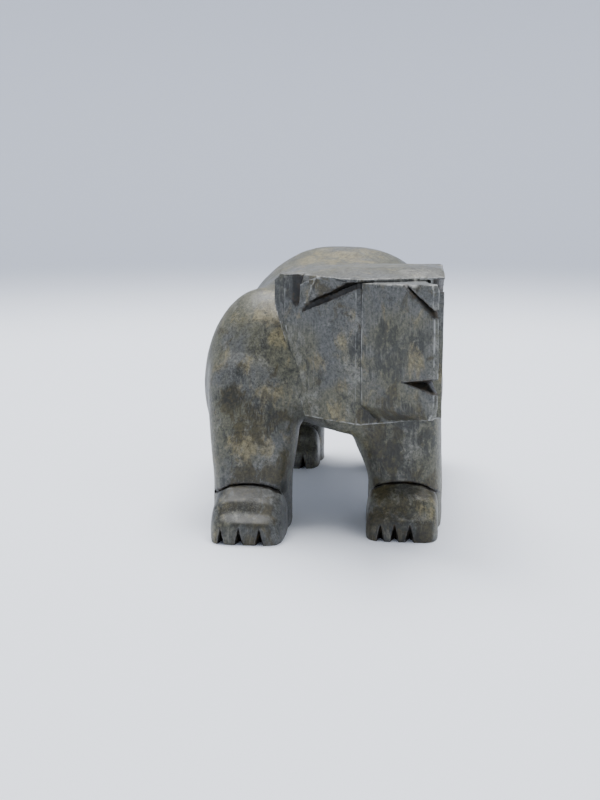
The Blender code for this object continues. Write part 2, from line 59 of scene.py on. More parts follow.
# Body. The roundness of its back is given for its right side, -1, and its left, 1.
CHEST_Y = -41 * MM
RUMP_Y = 80 * MM
GIRTH_Z = 53 * MM
FLANK = 45 * MM
FLANK_SWELL = 1.2 * MM
WAIST_INSET = 3 * MM
LEAST_FULLNESS = 0.08
CHEST_BLUNTNESS = 2.35
RUMP_BLUNTNESS = 2.45
BACK_ROUNDNESS = {-1: 2.08, 1: 2.75}
BELLY_ROUNDNESS = 2.8
BACK_LINE = [
    (CHEST_Y, 97 * MM),
    (-12 * MM, 98.5 * MM),
    (10 * MM, 96.5 * MM),
    (44 * MM, CREST_Z + 2.1 * MM),
    (RUMP_Y, 96 * MM),
]
BELLY_Z = 35.5 * MM
SECTION_COUNT = 40
SECTION_POINTS = 96

# Neck: (start, end) of its sizes from inside the body to inside the head.
NECK_X = (1 * MM, 14 * MM)
NECK_Y = (-6 * MM, -38 * MM)
NECK_LOW = (33 * MM, 35.5 * MM)
NECK_HIGH = (96 * MM, 94 * MM)
NECK_HALF_WIDTH = (35 * MM, 20 * MM)
NECK_ROUNDNESS = 2.4

# Tail, a leaning egg against the rump.
TAIL_Z = 82 * MM
TAIL_DROP = 4 * MM
TAIL_HALF_WIDTH = 5 * MM
TAIL_HALF_DEPTH = 5.5 * MM
TAIL_LENGTH = 9 * MM
TAIL_LEAN = 1.8 * MM

# Shoulders and haunches: (centre x, y, z) and (half width, half depth, half height), leaning with the leg.
SHOULDER = ((22 * MM, -19 * MM, 51.5 * MM), (24.6 * MM, 21 * MM, 37.5 * MM))
HAUNCH = ((24 * MM, 48 * MM, 51 * MM), (22 * MM, 26 * MM, 33 * MM))
SHOULDER_LEAN = math.radians(-8)
HAUNCH_LEAN = math.radians(10)
SHOULDER_OFFSET = -1.1 * MM
MUSCLE_INNER_SHARE = 0.5
MUSCLE_LOWER_SHARE = 0.86

# Legs and feet are made to reach this far under the floor, which then cuts their soles flat.
SINK = 4 * MM

# Legs. Each leg is (side, ankle centre x, ankle centre y, half width, half depth, foot front y,
# foot centre x).
ANKLE_Z = 19 * MM
LEG_TOP_Z = 62 * MM
FORELEG_TOP_Y = -24 * MM
HINDLEG_TOP_Y = 48 * MM
LEG_TOP_X = 26 * MM
FORELEG_TOP = (18.4 * MM, 16 * MM)
HINDLEG_TOP = (18 * MM, 22 * MM)
LEG_TAPER = 1.8
LEG_SWEEP = 0.8
LEG_STEPS = 10
LEG_CAP = 9 * MM
LEG_CAP_SHARE = 0.5
LEG_CAP_ROUNDNESS = 2.2
LEG_ROUNDNESS = 2.6
LEG_SOLE_ROUNDNESS = 2.8
LEGS = {
    "right_fore": (-1, 26.3 * MM, -34.5 * MM, 14.9 * MM, 14.5 * MM, -63.5 * MM, 25.4 * MM),
    "left_fore": (1, 31.5 * MM, -26.5 * MM, 14.2 * MM, 14 * MM, -54 * MM, 30.9 * MM),
    "right_hind": (-1, 24.6 * MM, 69.5 * MM, 16.8 * MM, 11.4 * MM, 47.5 * MM, 22.6 * MM),
    "left_hind": (1, 28 * MM, 63.5 * MM, 14.2 * MM, 11.4 * MM, 41.5 * MM, 28 * MM),
}

# Feet.
FOOT_HALF_WIDTH = 12.9 * MM
ANKLE_FLARE = 0.6 * MM
ANKLE_OVERLAP = 0.5 * MM
HEEL_INSET = 2 * MM
HEEL_NARROWING = 1.2 * MM
HEEL_DROPS = (4 * MM, 9 * MM, 11 * MM)
TOE_HEIGHT = 8.6 * MM
TOE_EDGE_DROP = 0.8 * MM
KNUCKLE_RISE = 1.8 * MM
INSTEP_Z = 18.5 * MM
INSTEP_BULGE = 0.8 * MM
FOOT_CORNER = 4.5 * MM
FOOT_BOXINESS = 4.6
FOOT_STEPS = 48

# Creases over the forefeet. Shares are of the foot's half width: nearly level up to one, down to the other.
CREASE_Z = INSTEP_Z + 0.8 * MM
CREASE_DEPTH = 2 * MM
CREASE_STEPS = 16
CREASE_LEVEL_SHARE = 0.6
CREASE_END_SHARE = 1.15
CREASE_SAG = 0.8 * MM
CREASE_END_DROP = 4.7 * MM
CREASE_FADE = 0.35
CREASE_WRAP = 5 * MM
# How far over the crease's line its upper lip, its lower lip and its floor are.
CREASE_PROFILE = (2.2 * MM, -0.6 * MM, -1.2 * MM)

# Notches between the toes, placed as shares of the foot's half width.
TOE_CUT_WIDTH = 4 * MM
TOE_CUT_HEIGHT = 7.4 * MM
TOE_CUT_DEPTH = 5 * MM
TOE_CUT_TAPER = 0.4
TOE_CUT_REACH = 2 * MM
TOE_CUT_UNDER = 1 * MM
TOE_CUTS = {
    "right_fore": (-0.68, -0.16, 0.42),
    "left_fore": (-0.60, -0.20, 0.23),
    "right_hind": (-0.52, 0.0, 0.52),
    "left_hind": (-0.52, 0.0, 0.52),
}

# Blending of the rounded masses. The smoothing spreads as far as in the solid, over smaller cells.
SKIN_VOXEL = 1.0 * MM
SKIN_SMOOTHING = 63
FOOT_VOXEL = 0.8 * MM
FOOT_SMOOTHING = 10

# Head. Its own axes are u, out to either side, v, back from the nose, and z, up.
NOSE = Vector((41.2 * MM, -78.3 * MM, 0))
HEAD_TURN = math.radians(28)
SKULL_SHIFT = -4.2 * MM
BLOCK_SIDE_X = 44.5 * MM
RIDGE_HALF_WIDTH = 1.0 * MM
MUZZLE_LENGTH = 31 * MM
MUZZLE_OVERLAP = 3 * MM
MUZZLE_ROOT_HALF_WIDTH = 11.9 * MM
MUZZLE_TOP = (95.4 * MM, 93.7 * MM)
MUZZLE_LOW = (52.9 * MM, 51.3 * MM)
CHIN_Z = (50.2 * MM, 43.9 * MM)
CHIN_BACK = 2.2 * MM
CHIN_HALF_WIDTH = 5 * MM
BROW_Z = 95.0 * MM
CROWN_Z = 98.2 * MM
LEFT_BROW_Z = 97.6 * MM
JAW_Z = 43.4 * MM
CHEEK_FRONT = (17.0 * MM, 32 * MM)
CHEEK_FACET = (19.3 * MM, 38.8 * MM)
CHEEK_REAR = (30.2 * MM, 58.5 * MM)
EAR_REAR = (35.2 * MM, 68 * MM)
JAW_REAR = (28.3 * MM, 55 * MM)
EAR_Z = (95.8 * MM, 79 * MM)
EAR_THICKNESS = 6 * MM
NAPE = (14 * MM, 78 * MM)

# File cuts.
CUT_REACH = 3 * MM
# Eye slit: (v, lower lip, upper lip) from its inner to its outer end.
EYE_SLIT = [
    (31.5 * MM, 92.6 * MM, 94.3 * MM),
    (38.0 * MM, 90.0 * MM, 93.6 * MM),
    (42.0 * MM, 88.2 * MM, 92.0 * MM),
    (49.2 * MM, 84.9 * MM, 88.7 * MM),
    (53.2 * MM, 83.0 * MM, 86.0 * MM),
    (55.0 * MM, 82.2 * MM, 83.2 * MM),
]
EYE_DEPTH = 5 * MM
LEFT_EYE_DROP = 2.6 * MM
# Facet over the slit: (v, z) of its outer, top and inner corners, and of the point where it is deepest.
LID_CORNERS = [(54.0 * MM, 84.8 * MM), (49.6 * MM, 95.8 * MM), (37.0 * MM, 94.2 * MM)]
LID_DEEPEST = (47.4 * MM, 89.6 * MM)
LID_DEPTH = 2.6 * MM
# Bevel of the brow in front of an ear: (v, z) of its ends on the cheek, and how far it runs in over the
# crown.
BEVEL_ENDS = [(49.0 * MM, 95.2 * MM), (58.4 * MM, 91.2 * MM)]
BEVEL_WIDTH = 4 * MM
NOSE_CUT_BACK = 15.2 * MM
NOSE_CUT_Z = 85.6 * MM
NOSE_CUT_WIDTH = 3.2 * MM
NOSE_CUT_DEPTH = 2.8 * MM
MOUTH_BACK = 12.6 * MM
MOUTH_Z = 63.6 * MM
MOUTH_HEIGHT = 5.4 * MM
MOUTH_RISE = 1.9 * MM
MOUTH_DEPTH = 3.2 * MM
EAR_CUT_BOTTOM = 83.8 * MM
EAR_CUT_WIDTH = 3.0 * MM
EAR_CUT_DEPTH = 2.6 * MM
# Groove down the corner between muzzle and cheek: (z, depth), and its width.
ROOT_CUT = [(94.4 * MM, 1.8 * MM), (87 * MM, 0.8 * MM), (42 * MM, 0.6 * MM)]
ROOT_CUT_WIDTH = 1.1 * MM

# A slab that cuts the carving reaches this far past it.
FAR = 200 * MM

# Dressing of the surface: its mesh, its worn edges and the relief that the rasp left.
FLAT_ANGLE = math.radians(0.2)
WELD = 0.005 * MM
SLIVER = 0.002 * MM
GRID = 1.2 * MM
GRID_SNAP = 0.02 * MM
BIG_FACE = 1.6 * MM * MM
EDGE_ANGLE = math.radians(24)
CRISP_ANGLE = math.radians(42)
FULL_EDGE_ANGLE = math.radians(60)
WEAR_PASSES = 2
WEAR_FACTOR = 0.3
CUT_NEAR = 0.04 * MM
SOLE_HEIGHT = 0.4 * MM
# (size of the marks, depth)
RELIEF = [(17 * MM, 0.30 * MM), (5.5 * MM, 0.10 * MM), (2.2 * MM, 0.06 * MM)]
RELIEF_OFFSET = Vector((7.3, 1.9, 4.1))

# Patches that show in the photograph, mostly the stone's own colour, with painted highlight and painted shade
# where noted: (x, y, z, radius) in millimetres.
PATCHES = {
    "tan": [
        # Right shoulder and foreleg.
        (-20, -29, 80, 5), (-15, -35, 72, 4), (-26, -40, 62, 3), (-19, -43, 54, 4), (-26, -47, 33, 5),
        (-19, -47, 32, 3),
        # Head.
        (6, -50, 47, 4), (1, -47, 65, 3), (9, -52, 73, 2), (9, -52, 56, 3), (34, -73, 70, 4),
        # Back, and left forefoot.
        (1, 16, 97, 12), (40, -49, 12, 4),
    ],
    "olive": [
        # Right shoulder and foreleg.
        (-31, -44, 49, 5), (-24, -46, 40, 7), (-13, -43, 40, 4), (-14, -45, 23, 5), (-26, -49, 21, 5),
        # Right forefoot.
        (-32, -59, 12, 2), (-17, -58, 12, 3), (-24, -64, 2, 4), (-16, -64, 2, 4), (-20, -58, 8, 6),
        (-27, -53, 16, 6),
        # Left foreleg.
        (23, -41, 38, 6), (24, -41, 28, 6), (33, -41, 23, 5), (22, -43, 16, 5), (42, -41, 17, 5),
        # Left forefoot.
        (21, -54, 5, 6), (31, -55, 5, 6), (39, -55, 5, 6), (32, -49, 12, 5),
        # Head, mostly under the jaw.
        (1, -45, 92, 4), (20, -56, 47, 5), (26, -66, 47, 9), (29, -67, 49, 7), (36, -72, 49, 5),
        # Right hind foot.
        (-27, 56, 12, 10),
    ],
    "dark": [
        # Right shoulder and foreleg.
        (-22, -37, 67, 4), (-29, -41, 59, 3), (-32, -43, 50, 4), (-20, -44, 46, 5), (-17, -45, 41, 4),
        (-13, -44, 16, 3),
        # Right forefoot.
        (-33, -52, 12, 6), (-25, -58, 11, 11), (-25, -55, 15, 7),
        # Left foreleg.
        (40, -39, 33, 4), (36, -42, 40, 7), (28, -43, 30, 8), (33, -44, 22, 8), (25, -41, 27, 7),
        # Left forefoot.
        (30, -55, 4, 9), (36, -55, 12, 7),
        # Head, with painted shade on the side of the muzzle, which faces away from the light.
        (-13, -36, 88, 6), (36, -75, 76, 5), (26, -66, 72, 8), (14, -56, 70, 3), (29, -69, 65, 3),
        (36, -72, 49, 5), (28, -66, 47, 7), (20, -56, 47, 5),
    ],
    "pale": [
        # Head, with painted highlights on the left brow and beside the right ear groove.
        (35, -42, 96, 5), (-6, -39, 94, 3), (13, -55, 79, 4), (13, -55, 62, 4),
        # Rear edge of the right cheek: painted highlight along the ridge.
        (-12, -37, 80, 2), (-10, -39, 71, 4), (-8, -41, 64, 2), (-6, -42, 58, 2), (-4, -43, 53, 4),
        (-1, -45, 46, 2),
        # Nose ridge: painted highlight where it faces the light.
        (42, -79, 88, 2), (42, -79, 76, 2), (42, -79, 65, 2), (42, -79, 55, 2),
        # Forelegs.
        (-18, -47, 28, 4), (33, -41, 33, 5), (32, -45, 16, 7),
    ],
}
PATCH_SPREAD = 1.7

# Camera: the place and aim that give the photograph's view.
CAMERA_AT = Vector((36.30 * MM, -437.96 * MM, 126.86 * MM))
CAMERA_TURN = math.radians(6.2)
CAMERA_PITCH = 0.19213
CAMERA_LENS = 49.5
CAMERA_SENSOR = 36


def new_object(name, builder):
    """Link an object whose mesh is the given bmesh, with all its faces turned outwards."""
    bmesh.ops.recalc_face_normals(builder, faces=builder.faces)
    mesh = bpy.data.meshes.new(name)
    builder.to_mesh(mesh)
    builder.free()
    item = bpy.data.objects.new(name, mesh)
    bpy.context.collection.objects.link(item)
    return item


def hull(name, points):
    """Smallest flat-sided block around the points."""
    builder = bmesh.new()
    corners = [builder.verts.new(point) for point in points]
    result = bmesh.ops.convex_hull(builder, input=corners)
    left_over = result["geom_interior"] + result["geom_unused"]
    spare = {item for item in left_over if isinstance(item, bmesh.types.BMVert)}
    bmesh.ops.delete(builder, geom=list(spare), context="VERTS")
    bmesh.ops.dissolve_limit(builder, angle_limit=FLAT_ANGLE, verts=builder.verts, edges=builder.edges)
    return new_object(name, builder)


def loft(name, rings, open_end=False):
    """Skin over rings that all have the same number of points, closed at both ends or at the first only."""
    builder = bmesh.new()
    loops = [[builder.verts.new(point) for point in ring] for ring in rings]
    for near, far in zip(loops, loops[1:]):
        for index in range(len(near)):
            after = (index + 1) % len(near)
            builder.faces.new((near[index], near[after], far[after], far[index]))
    builder.faces.new(loops[0])
    if not open_end:
        builder.faces.new(loops[-1])
    return new_object(name, builder)


def bake(item):
    """Replace the object's mesh by the result of its modifiers."""
    graph = bpy.context.evaluated_depsgraph_get()
    shaped = bpy.data.meshes.new_from_object(item.evaluated_get(graph))
    spent = item.data
    item.modifiers.clear()
    item.data = shaped
    bpy.data.meshes.remove(spent)


def combine(item, tool, operation, solver="EXACT"):
    """Join the tool to the object, or cut it away, and use the tool up.

    The dense skin and the strokes that overlap need the MANIFOLD solver: EXACT leaves them open.
    """
    modifier = item.modifiers.new(tool.name, "BOOLEAN")
    modifier.operation = operation
    modifier.solver = solver
    modifier.object = tool
    bake(item)
    bpy.data.objects.remove(tool, do_unlink=True)


def gather(name, items):
    """Put several closed pieces into one object, each as it is."""
    builder = bmesh.new()
    for item in items:
        builder.from_mesh(item.data)
        bpy.data.objects.remove(item, do_unlink=True)
    return new_object(name, builder)


def drop_crumbs(item):
    """Keep only the largest connected piece of the mesh: a join can leave closed slivers inside."""
    builder = bmesh.new()
    builder.from_mesh(item.data)
    unseen = set(builder.verts)
    largest = set()
    while unseen:
        island = {unseen.pop()}
        front = list(island)
        while front:
            vertex = front.pop()
            for edge in vertex.link_edges:
                other = edge.other_vert(vertex)
                if other in unseen:
                    unseen.remove(other)
                    island.add(other)
                    front.append(other)
        if len(island) > len(largest):
            largest = island
    crumbs = [vertex for vertex in builder.verts if vertex not in largest]
    bmesh.ops.delete(builder, geom=crumbs, context="VERTS")
    builder.to_mesh(item.data)
    builder.free()


def remesh(item, voxel, smoothing):
    """Fuse the object's parts into one even skin and smooth it."""
    skin = item.modifiers.new("skin", "REMESH")
    skin.mode = "VOXEL"
    skin.voxel_size = voxel
    smooth = item.modifiers.new("smooth", "SMOOTH")
    smooth.factor = 0.5
    smooth.iterations = smoothing
    bake(item)


def power(value, exponent):
    """Power that keeps the sign of the value."""
    return math.copysign(abs(value) ** exponent, value)


def oval(centre, half_width, half_height, roundness):
    """Superellipse as (a, b) pairs: 2 is an ellipse, higher is squarer."""
    pairs = []
    for step in range(SECTION_POINTS):
        angle = 2 * math.pi * step / SECTION_POINTS
        a = centre[0] + half_width * power(math.cos(angle), 2 / roundness)
        b = centre[1] + half_height * power(math.sin(angle), 2 / roundness)
        pairs.append((a, b))
    return pairs


def between(ends, share):
    """Value at a share of the way from the first of the two ends to the second."""
    return ends[0] + (ends[1] - ends[0]) * share


def along(line, position):
    """Height of a smooth line through (position, height) stations."""
    for (start, low), (end, high) in zip(line, line[1:]):
        if position <= end:
            share = max(0.0, (position - start) / (end - start))
            eased = share * share * (3 - 2 * share)
            return between((low, high), eased)
    return line[-1][1]


def body_section(y):
    """Cross-section of the body at y: a tall dome over a flatter belly."""
    middle = (CHEST_Y + RUMP_Y) / 2
    reach = (RUMP_Y - CHEST_Y) / 2
    offset = (y - middle) / reach
    bluntness = CHEST_BLUNTNESS if offset < 0 else RUMP_BLUNTNESS
    fullness = max(0.0, 1 - abs(offset) ** bluntness) ** (1 / bluntness)
    fullness = max(fullness, LEAST_FULLNESS)
    waist = WAIST_INSET * math.cos(offset * math.pi / 2) ** 4
    half_width = (FLANK + FLANK_SWELL - waist) * fullness
    rise = (along(BACK_LINE, y) - GIRTH_Z) * fullness
    drop = (GIRTH_Z - BELLY_Z) * fullness
    uppers = {side: oval((0, 0), half_width, rise, BACK_ROUNDNESS[side]) for side in (-1, 1)}
    lower = oval((0, 0), half_width, drop, BELLY_ROUNDNESS)
    points = []
    for right, left, low in zip(uppers[-1], uppers[1], lower):
        x, z = low if low[1] < 0 else left if low[0] > 0 else right
        points.append((x, y, GIRTH_Z + z))
    return points


def make_body():
    """Barrel of the body, from the chest to the rump."""
    rings = []
    for index in range(SECTION_COUNT):
        turn = math.pi * index / (SECTION_COUNT - 1)
        share = (1 - math.cos(turn)) / 2
        rings.append(body_section(between((CHEST_Y, RUMP_Y), share)))
    return loft("body", rings)


def leg_ring(centre_x, centre_y, z, half_width, half_depth, roundness):
    """Level ring of a leg."""
    return [(x, y, z) for x, y in oval((centre_x, centre_y), half_width, half_depth, roundness)]


def make_leg(name):
    """One leg, from inside the body down past the floor, which is cut flat later."""
    side, ankle_x, ankle_y, half_width, half_depth, _, _ = LEGS[name]
    fore = name.endswith("fore")
    top_y = FORELEG_TOP_Y if fore else HINDLEG_TOP_Y
    top_width, top_depth = FORELEG_TOP if fore else HINDLEG_TOP
    cap_width, cap_depth = LEG_CAP_SHARE * top_width, LEG_CAP_SHARE * top_depth
    cap_z = LEG_TOP_Z + LEG_CAP
    rings = [leg_ring(side * LEG_TOP_X, top_y, cap_z, cap_width, cap_depth, LEG_CAP_ROUNDNESS)]
    for step in range(LEG_STEPS + 1):
        share = step / LEG_STEPS
        narrowed = share ** LEG_TAPER
        x = side * between((LEG_TOP_X, ankle_x), narrowed)
        y = between((top_y, ankle_y), share ** LEG_SWEEP)
        z = between((LEG_TOP_Z, ANKLE_Z), share)
        width = between((top_width, half_width), narrowed)
        depth = between((top_depth, half_depth), narrowed)
        rings.append(leg_ring(x, y, z, width, depth, LEG_ROUNDNESS))
    rings.append(leg_ring(side * ankle_x, ankle_y, -SINK, half_width, half_depth, LEG_SOLE_ROUNDNESS))
    return loft(name, rings)


def make_muscle(name, placing, lean, side, offset=0.0):
    """Egg-shaped shoulder or haunch, flatter on its inner side and below."""
    (x, y, z), radii = placing
    builder = bmesh.new()
    bmesh.ops.create_uvsphere(builder, u_segments=64, v_segments=40, radius=1)
    for vertex in builder.verts:
        swollen = Vector(a * b for a, b in zip(vertex.co, radii))
        if swollen.x * side < 0:
            swollen.x *= MUSCLE_INNER_SHARE
        if swollen.z < 0:
            swollen.z *= MUSCLE_LOWER_SHARE
        turned = Matrix.Rotation(lean, 3, "X") @ swollen
        vertex.co = turned + Vector((side * x + offset, y, z))
    return new_object(name, builder)


def make_neck():
    """Short neck that carries the turned head."""
    rings = []
    for share in (0.0, 0.35, 0.7, 1.0):
        y = between(NECK_Y, share)
        low = between(NECK_LOW, share)
        high = between(NECK_HIGH, share)
        centre = (between(NECK_X, share), (low + high) / 2)
        pairs = oval(centre, between(NECK_HALF_WIDTH, share), (high - low) / 2, NECK_ROUNDNESS)
        rings.append([(x, y, z) for x, z in pairs])
    return loft("neck", rings)


def make_tail():
    """Stub of a tail, lying on the rump."""
    builder = bmesh.new()
    bmesh.ops.create_uvsphere(builder, u_segments=32, v_segments=20, radius=1)
    middle = Vector((0, RUMP_Y - TAIL_HALF_DEPTH, TAIL_Z - TAIL_DROP))
    for vertex in builder.verts:
        x, y, z = vertex.co
        swollen = Vector((x * TAIL_HALF_WIDTH, y * TAIL_HALF_DEPTH - z * TAIL_LEAN, z * TAIL_LENGTH))
        vertex.co = middle + swollen
    return new_object("tail", builder)


def make_foot(name):
    """Foot: upright toe face, rounded instep rising to the ankle, flat sole below the floor."""
    side, _, ankle_y, _, half_depth, front, centre_x = LEGS[name]
    ankle = ankle_y - half_depth + ANKLE_OVERLAP
    heel = ankle_y + half_depth - HEEL_INSET
    wide = FOOT_HALF_WIDTH
    stations = [
        (front, wide - FOOT_CORNER, TOE_HEIGHT - TOE_EDGE_DROP),
        (front + 0.3 * FOOT_CORNER, wide - 0.3 * FOOT_CORNER, TOE_HEIGHT),
        (front + FOOT_CORNER, wide, TOE_HEIGHT + KNUCKLE_RISE),
        ((front + ankle) / 2, wide + ANKLE_FLARE / 2, (TOE_HEIGHT + INSTEP_Z) / 2 + INSTEP_BULGE),
        (ankle, wide + ANKLE_FLARE, INSTEP_Z),
        (ankle_y, wide, INSTEP_Z - HEEL_DROPS[0]),
        (heel - FOOT_CORNER, wide - HEEL_NARROWING, INSTEP_Z - HEEL_DROPS[1]),
        (heel, wide - FOOT_CORNER, INSTEP_Z - HEEL_DROPS[2]),
    ]
    rings = []
    for y, half_width, height in stations:
        ring = []
        for step in range(FOOT_STEPS + 1):
            angle = math.pi * step / FOOT_STEPS
            x = side * centre_x + half_width * power(math.cos(angle), 2 / FOOT_BOXINESS)
            ring.append((x, y, height * power(math.sin(angle), 2 / FOOT_BOXINESS)))
        ring.append((side * centre_x - half_width, y, -SINK))
        ring.append((side * centre_x + half_width, y, -SINK))
        rings.append(ring)
    return loft("foot_" + name, rings)


def crease_drop(share):
    """How far the crease lies below its middle, at a share of the foot's half width."""
    if share < CREASE_LEVEL_SHARE:
        return CREASE_SAG * (share / CREASE_LEVEL_SHARE) ** 2
    past = (share - CREASE_LEVEL_SHARE) / (CREASE_END_SHARE - CREASE_LEVEL_SHARE)
    return CREASE_SAG + CREASE_END_DROP * past


def crease_cutter(name):
    """Groove over the instep, where the foot meets the leg."""
    side, _, ankle_y, _, half_depth, _, centre_x = LEGS[name]
    face = ankle_y - half_depth
    upper, lower, floor = CREASE_PROFILE
    rings = []
    for step in range(CREASE_STEPS + 1):
        share = CREASE_END_SHARE * (2 * step / CREASE_STEPS - 1)
        x = side * centre_x + share * FOOT_HALF_WIDTH
        z = CREASE_Z - crease_drop(abs(share))
        depth = CREASE_DEPTH * (1 - CREASE_FADE * abs(share))
        setback = CREASE_WRAP * share ** 4
        outside = face - CUT_REACH + setback
        rings.append([
            (x, outside, z + upper),
            (x, outside, z + lower),
            (x, face + depth + setback, z + floor),
        ])
    return loft("crease", rings)


def toe_cutters(name):
    """Notches filed up the toe face."""
    side, _, _, _, _, front, centre_x = LEGS[name]
    low = -SINK - TOE_CUT_UNDER
    near = front - TOE_CUT_REACH
    deep = front + TOE_CUT_DEPTH
    spread = TOE_CUT_WIDTH / 2 * (TOE_CUT_HEIGHT - low) / TOE_CUT_HEIGHT
    cutters = []
    for share in TOE_CUTS[name]:
        x = side * centre_x + share * FOOT_HALF_WIDTH
        points = [
            (x - spread, near, low),
            (x + spread, near, low),
            (x, near, TOE_CUT_HEIGHT + TOE_CUT_REACH),
            (x - TOE_CUT_TAPER * spread, deep, low),
            (x + TOE_CUT_TAPER * spread, deep, low),
            (x, deep, 0.0),
        ]
        cutters.append(hull("toe_cut", points))
    return cutters


def on_head(u, v, z, shift=0.0):
    """Point in the head's own axes: u to the bear's right, v back from the nose."""
    forward = Vector((math.sin(HEAD_TURN), -math.cos(HEAD_TURN), 0))
    right = Vector((-math.cos(HEAD_TURN), -math.sin(HEAD_TURN), 0))
    return NOSE + right * (u + shift) - forward * v + Vector((0, 0, z))


def on_skull(u, v, z):
    """The same, from the middle of the skull, which sits a little to the left of the muzzle."""
    return on_head(u, v, z, SKULL_SHIFT)


def mirrored(points, place):
    """Points of the head for both its sides."""
    return [place(way * u, v, z) for u, v, z in points for way in (-1, 1)]


def muzzle_half_width(v):
    """Half width of the muzzle at v, between the nose ridge and its root."""
    return between((RIDGE_HALF_WIDTH, MUZZLE_ROOT_HALF_WIDTH), v / MUZZLE_LENGTH)


def cheek_half_width(v):
    """Half width of the skull at v, on the cheek or on the narrow facet in front of it."""
    front, rear = (CHEEK_FRONT, CHEEK_FACET) if v < CHEEK_FACET[1] else (CHEEK_FACET, CHEEK_REAR)
    return between((front[0], rear[0]), (v - front[1]) / (rear[1] - front[1]))


def make_muzzle():
    """Wedge of the muzzle, with an upright nose ridge and a chamfer under the jaw."""
    root = MUZZLE_LENGTH + MUZZLE_OVERLAP
    wide = muzzle_half_width(root)
    points = [
        (RIDGE_HALF_WIDTH * 0.8, 1.2 * MM, MUZZLE_TOP[0]),
        (RIDGE_HALF_WIDTH, 0, MUZZLE_TOP[0] - 2 * MM),
        (wide, root, MUZZLE_TOP[1]),
        (RIDGE_HALF_WIDTH, -1 * MM, MUZZLE_LOW[0] + 2 * MM),
        (RIDGE_HALF_WIDTH, 0, MUZZLE_LOW[0] - 1 * MM),
        (wide, root, MUZZLE_LOW[1]),
        (RIDGE_HALF_WIDTH, CHIN_BACK, CHIN_Z[0]),
        (CHIN_HALF_WIDTH, root, CHIN_Z[1]),
    ]
    return hull("muzzle", mirrored(points, on_head))


def make_skull():
    """Block of brow, crown and cheeks, cut back under the ears to the jaw.

    On the left its top stays level.
    """
    points = [
        (CHEEK_FRONT[0], CHEEK_FRONT[1], JAW_Z),
        (CHEEK_FACET[0], CHEEK_FACET[1], JAW_Z),
        (JAW_REAR[0], JAW_REAR[1], JAW_Z),
        (JAW_REAR[0] - 8 * MM, JAW_REAR[1] + 12 * MM, JAW_Z + 3 * MM),
        (CHEEK_FRONT[0], CHEEK_FRONT[1], BROW_Z),
        (CHEEK_FACET[0], CHEEK_FACET[1], BROW_Z),
        (CHEEK_REAR[0], CHEEK_REAR[1], BROW_Z),
        (CHEEK_REAR[0] + 3.2 * MM, CHEEK_REAR[1] + 4.5 * MM, EAR_Z[1]),
        (CHEEK_REAR[0] + 2.6 * MM, CHEEK_REAR[1] + 5 * MM, EAR_Z[0] - 1.2 * MM),
        (CHEEK_REAR[0] - 4 * MM, CHEEK_REAR[1] + 13 * MM, EAR_Z[0]),
        (NAPE[0], CHEEK_FACET[1] + 8 * MM, CROWN_Z),
        (NAPE[0], NAPE[1], CROWN_Z - 1.2 * MM),
        (NAPE[0], NAPE[1], 60 * MM),
    ]
    level = [on_skull(-u, v, LEFT_BROW_Z) for u, v in (CHEEK_FACET, CHEEK_REAR)]
    return hull("skull", mirrored(points, on_skull) + level)


def make_ear(way):
    """Block ear at the rear end of a cheek. It runs down into the cheek's rear edge."""
    rear_u, rear_v = EAR_REAR
    front_u, front_v = CHEEK_REAR
    top, bottom = EAR_Z
    points = [
        (front_u, front_v, top - 0.3 * MM),
        (front_u - EAR_THICKNESS, front_v + 2 * MM, top),
        (rear_u - 1.4 * MM, rear_v - 2 * MM, top - 0.5 * MM),
        (rear_u, rear_v, top - 3 * MM),
        (rear_u - EAR_THICKNESS, rear_v + 2.5 * MM, top - 0.3 * MM),
        (front_u, front_v, bottom),
        (rear_u, rear_v, bottom + 5 * MM),
        (rear_u - EAR_THICKNESS, rear_v + 2.5 * MM, bottom),
        (JAW_REAR[0] - 0.5 * MM, JAW_REAR[1] - 1 * MM, JAW_Z + 2 * MM),
        (JAW_REAR[0] - 5 * MM, JAW_REAR[1] + 1 * MM, JAW_Z + 2 * MM),
    ]
    return hull("ear", [on_skull(way * u, v, z) for u, v, z in points])


def lid_cutter(way):
    """Two facets over the eye slit, which meet in a ridge down to their deepest point."""
    v, z = LID_DEEPEST
    points = [on_skull(way * (cheek_half_width(v) - LID_DEPTH), v, z)]
    for v, z in LID_CORNERS:
        u = cheek_half_width(v)
        points.append(on_skull(way * u, v, z))
        points.append(on_skull(way * (u + CUT_REACH), v, z + 0.3 * CUT_REACH))
    return hull("lid_cut", points)


def bevel_cutter(way):
    """Slope from the crown down to the ear groove."""
    (front_v, front_z), (rear_v, rear_z) = BEVEL_ENDS
    front, rear = cheek_half_width(front_v), cheek_half_width(rear_v)
    points = [
        on_skull(way * front, front_v, front_z),
        on_skull(way * rear, rear_v, rear_z),
        on_skull(way * (rear - BEVEL_WIDTH), rear_v, CROWN_Z),
        on_skull(way * (front - 0.2 * BEVEL_WIDTH), front_v, CROWN_Z),
        on_skull(way * (rear + CUT_REACH), rear_v, rear_z),
        on_skull(way * (rear + CUT_REACH), rear_v, CROWN_Z + CUT_REACH),
        on_skull(way * (rear - BEVEL_WIDTH), rear_v, CROWN_Z + CUT_REACH),
        on_skull(way * (front + CUT_REACH), front_v, CROWN_Z + CUT_REACH),
    ]
    return hull("bevel_cut", points)


def eye_cutter(way):
    """Deep slit, pointed at its outer end and shallower there. The left one starts lower at its inner end."""
    start, end = EYE_SLIT[0][0], EYE_SLIT[-1][0]
    points = []
    for v, low, high in EYE_SLIT:
        if way < 0:
            low -= LEFT_EYE_DROP * (end - v) / (end - start)
        u = cheek_half_width(v)
        for reach in (-EYE_DEPTH * min(1, 4 * (end - v) / (end - start)), CUT_REACH):
            points.append(on_skull(way * (u + reach), v, low))
            points.append(on_skull(way * (u + reach), v, high))
    return hull("eye_cut", points)


